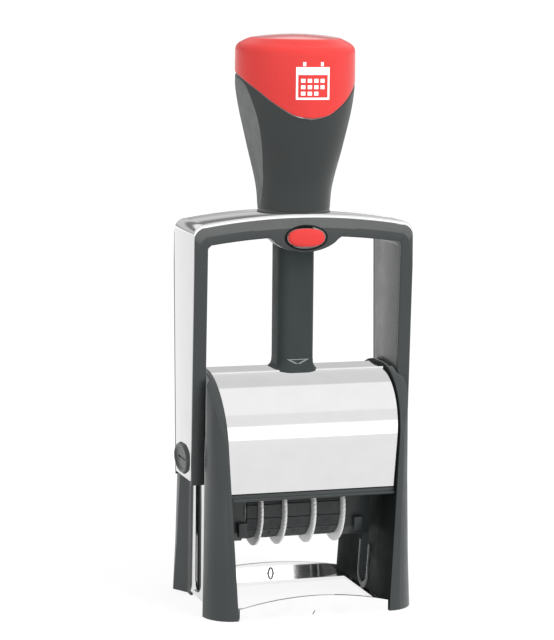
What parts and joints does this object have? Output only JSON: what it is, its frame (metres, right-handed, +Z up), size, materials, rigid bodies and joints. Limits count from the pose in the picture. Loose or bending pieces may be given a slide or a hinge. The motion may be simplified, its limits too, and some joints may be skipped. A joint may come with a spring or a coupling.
{
  "type": "rotary date stamp",
  "caption": "Self-inking rotary date stamp: a sprung yoke handle slides over a guide column and turns the band-wheel print unit from the ink pad down through the base window.",
  "frame": {"origin": "on the ground under the middle of the stamp", "axes": "+X to the right of the user, +Y to the rear, +Z up along the handle; the front faces -Y"},
  "size_m": [0.0622, 0.0448, 0.1524],
  "materials": {
    "side_plastic": "satin moulded, dark grey",
    "grip_plastic": "fine grained, dark grey",
    "gloss_dark": "polished, dark grey",
    "red_plastic": "satin gloss, red",
    "disc_plastic": "light grey, knurled rim",
    "bright_plate": "bright plated",
    "steel": "drawn steel",
    "print_rubber": "dull rubber",
    "pad_felt": "inked felt"
  },
  "bodies": {
    "frame": {"side_frame_left": "side_plastic", "side_frame_right": "side_plastic", "slot_plate_left": "bright_plate", "slot_plate_right": "bright_plate", "base_plate": "bright_plate", "base_screw_1": "steel", "base_screw_2": "steel", "base_screw_3": "steel", "base_screw_4": "steel", "hood": "bright_plate", "hood_rail": "gloss_dark", "upper_bridge": "side_plastic", "cartridge_rail_left": "side_plastic", "cartridge_rail_right": "side_plastic", "guide_column": "side_plastic", "column_collar": "side_plastic", "return_spring": "steel"},
    "cartridge": {"ink_cartridge": "side_plastic", "ink_pad": "pad_felt"},
    "yoke": {"yoke_bracket": "side_plastic", "yoke_strap": "bright_plate", "yoke_front_trim": "side_plastic", "yoke_rear_trim": "side_plastic", "lug_plug_left": "side_plastic", "lug_plug_right": "side_plastic", "axle_pin_left": "steel", "axle_pin_right": "steel", "handle_grip": "grip_plastic", "handle_cap": "red_plastic", "plunger_rod": "steel"},
    "button": {"lock_button": "red_plastic"},
    "print_unit": {"unit_cheek_left": "side_plastic", "unit_cheek_right": "side_plastic", "cam_pin_left": "steel", "cam_pin_right": "steel", "tie_rod_front": "steel", "tie_rod_rear": "steel", "wheel_axle": "steel", "die_carrier": "side_plastic", "text_die": "print_rubber", "band_nose": "steel", "unit_clip_left": "side_plastic", "unit_clip_right": "side_plastic", "date_band_1": "print_rubber", "date_band_2": "print_rubber", "date_band_3": "print_rubber", "date_band_4": "print_rubber"},
    "wheel_1": {"setting_wheel_1": "disc_plastic"},
    "wheel_2": {"setting_wheel_2": "disc_plastic"},
    "wheel_3": {"setting_wheel_3": "disc_plastic"},
    "wheel_4": {"setting_wheel_4": "disc_plastic"}
  },
  "joints": [
    {"name": "yoke_slide", "type": "slide", "parent": "frame", "child": "yoke", "axis": [0, 0, -1], "range_m": [0, 0.0312], "stiffness_N_per_m": 300, "springref_m": -0.03, "deforming": ["return_spring"]},
    {"name": "print_flip", "type": "hinge", "parent": "yoke", "child": "print_unit", "pos_m": [0, 0, 0.0407], "axis": [1, 0, 0], "range_deg": [0, 180]},
    {"name": "wheel_spin_1", "type": "hinge", "parent": "print_unit", "child": "wheel_1", "pos_m": [-0.0111, 0, 0.0257], "axis": [1, 0, 0], "continuous": true},
    {"name": "wheel_spin_2", "type": "hinge", "parent": "print_unit", "child": "wheel_2", "pos_m": [-0.0045, 0, 0.0257], "axis": [1, 0, 0], "continuous": true},
    {"name": "wheel_spin_3", "type": "hinge", "parent": "print_unit", "child": "wheel_3", "pos_m": [0.0037, 0, 0.0257], "axis": [1, 0, 0], "continuous": true},
    {"name": "wheel_spin_4", "type": "hinge", "parent": "print_unit", "child": "wheel_4", "pos_m": [0.0119, 0, 0.0257], "axis": [1, 0, 0], "continuous": true},
    {"name": "button_press", "type": "slide", "parent": "yoke", "child": "button", "axis": [0, 1, 0], "range_m": [0, 0.0023], "stiffness_N_per_m": 400, "springref_m": -0.001},
    {"name": "cartridge_slide", "type": "slide", "parent": "frame", "child": "cartridge", "axis": [0, 1, 0], "range_m": [0, 0.036]}
  ],
  "couplings": [
    {"joint": "print_flip", "follows": "yoke_slide", "rad_per_m": 100.69}
  ]
}
